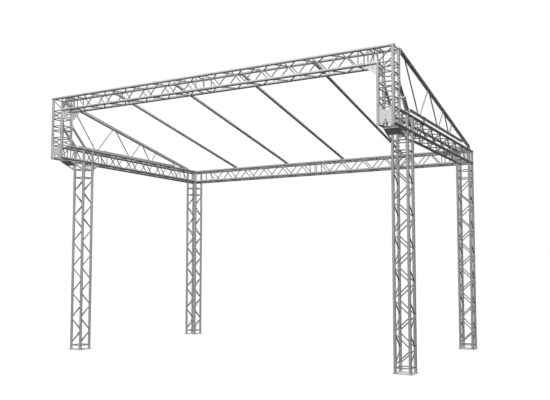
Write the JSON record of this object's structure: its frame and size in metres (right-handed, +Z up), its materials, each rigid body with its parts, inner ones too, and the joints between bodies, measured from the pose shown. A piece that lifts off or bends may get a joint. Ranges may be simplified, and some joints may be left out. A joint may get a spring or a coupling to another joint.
{
  "type": "truss stage roof",
  "caption": "Free-standing stage roof of square aluminium box truss: towers with base plates, a ring of beams, a raised front beam and hinged sloping rails that carry the cover.",
  "frame": {"origin": "on the ground, under the middle of the whole roof", "axes": "+X to the right along the front beam as the audience sees it, +Y from the audience to the back of the stage, +Z up"},
  "size_m": [7.03, 4.725, 4.9285],
  "materials": {
    "truss": "plain drawn tube, lightly weathered",
    "tube": "plain tube, darker from handling",
    "track": "extruded, satin",
    "coupler": "forged, satin",
    "plate": "plain rolled plate"
  },
  "bodies": {
    "root": {"base_plate_front_left": "plate", "base_plate_front_right": "plate", "base_plate_rear_left": "plate", "base_plate_rear_right": "plate", "corner_block_left": "truss", "corner_block_right": "truss", "front_beam_left": "truss", "front_beam_right": "truss", "gusset_front_left": "plate", "gusset_front_right": "plate", "gusset_rear_left": "plate", "gusset_rear_right": "plate", "haunch_front_left": "plate", "haunch_front_right": "plate", "haunch_rear_left": "plate", "haunch_rear_right": "plate", "knee_brace_inner_left": "tube", "knee_brace_inner_right": "tube", "knee_brace_outer_left": "tube", "knee_brace_outer_right": "tube", "lower_elbow_left": "truss", "lower_elbow_right": "truss", "post_plate_left": "plate", "post_plate_right": "plate", "post_spacer_left": "truss", "post_spacer_right": "truss", "rear_beam_left": "truss", "rear_beam_right": "truss", "side_beam_left": "truss", "side_beam_right": "truss", "tee_block_left": "truss", "tee_block_right": "truss", "tower_front_left": "truss", "tower_front_right": "truss", "tower_rear_left": "truss", "tower_rear_right": "truss", "upper_elbow_left": "truss", "upper_elbow_right": "truss", "wedge_coupler_left": "coupler", "wedge_coupler_right": "coupler", "wedge_frame_left": "tube", "wedge_frame_right": "tube", "wedge_track_left": "track", "wedge_track_right": "track"},
    "rail_far_left": {"rail_tube_far_left": "tube", "cover_track_far_left": "track", "rail_clamp_far_left": "coupler", "rail_hook_far_left": "coupler"},
    "rail_mid_left": {"rail_tube_mid_left": "tube", "cover_track_mid_left": "track", "rail_clamp_mid_left": "coupler", "rail_hook_mid_left": "coupler"},
    "rail_mid_right": {"rail_tube_mid_right": "tube", "cover_track_mid_right": "track", "rail_clamp_mid_right": "coupler", "rail_hook_mid_right": "coupler"},
    "rail_far_right": {"rail_tube_far_right": "tube", "cover_track_far_right": "track", "rail_clamp_far_right": "coupler", "rail_hook_far_right": "coupler"}
  },
  "joints": [
    {"name": "rail_far_left_hinge", "type": "hinge", "parent": "root", "child": "rail_far_left", "pos_m": [-2.105, -2.0975, 4.895], "axis": [1, 0, 0], "range_deg": [0, 90]},
    {"name": "rail_mid_left_hinge", "type": "hinge", "parent": "root", "child": "rail_mid_left", "pos_m": [-0.715, -2.0975, 4.895], "axis": [1, 0, 0], "range_deg": [0, 90]},
    {"name": "rail_mid_right_hinge", "type": "hinge", "parent": "root", "child": "rail_mid_right", "pos_m": [0.69, -2.0975, 4.895], "axis": [1, 0, 0], "range_deg": [0, 90]},
    {"name": "rail_far_right_hinge", "type": "hinge", "parent": "root", "child": "rail_far_right", "pos_m": [2.056, -2.0975, 4.895], "axis": [1, 0, 0], "range_deg": [0, 90]}
  ]
}
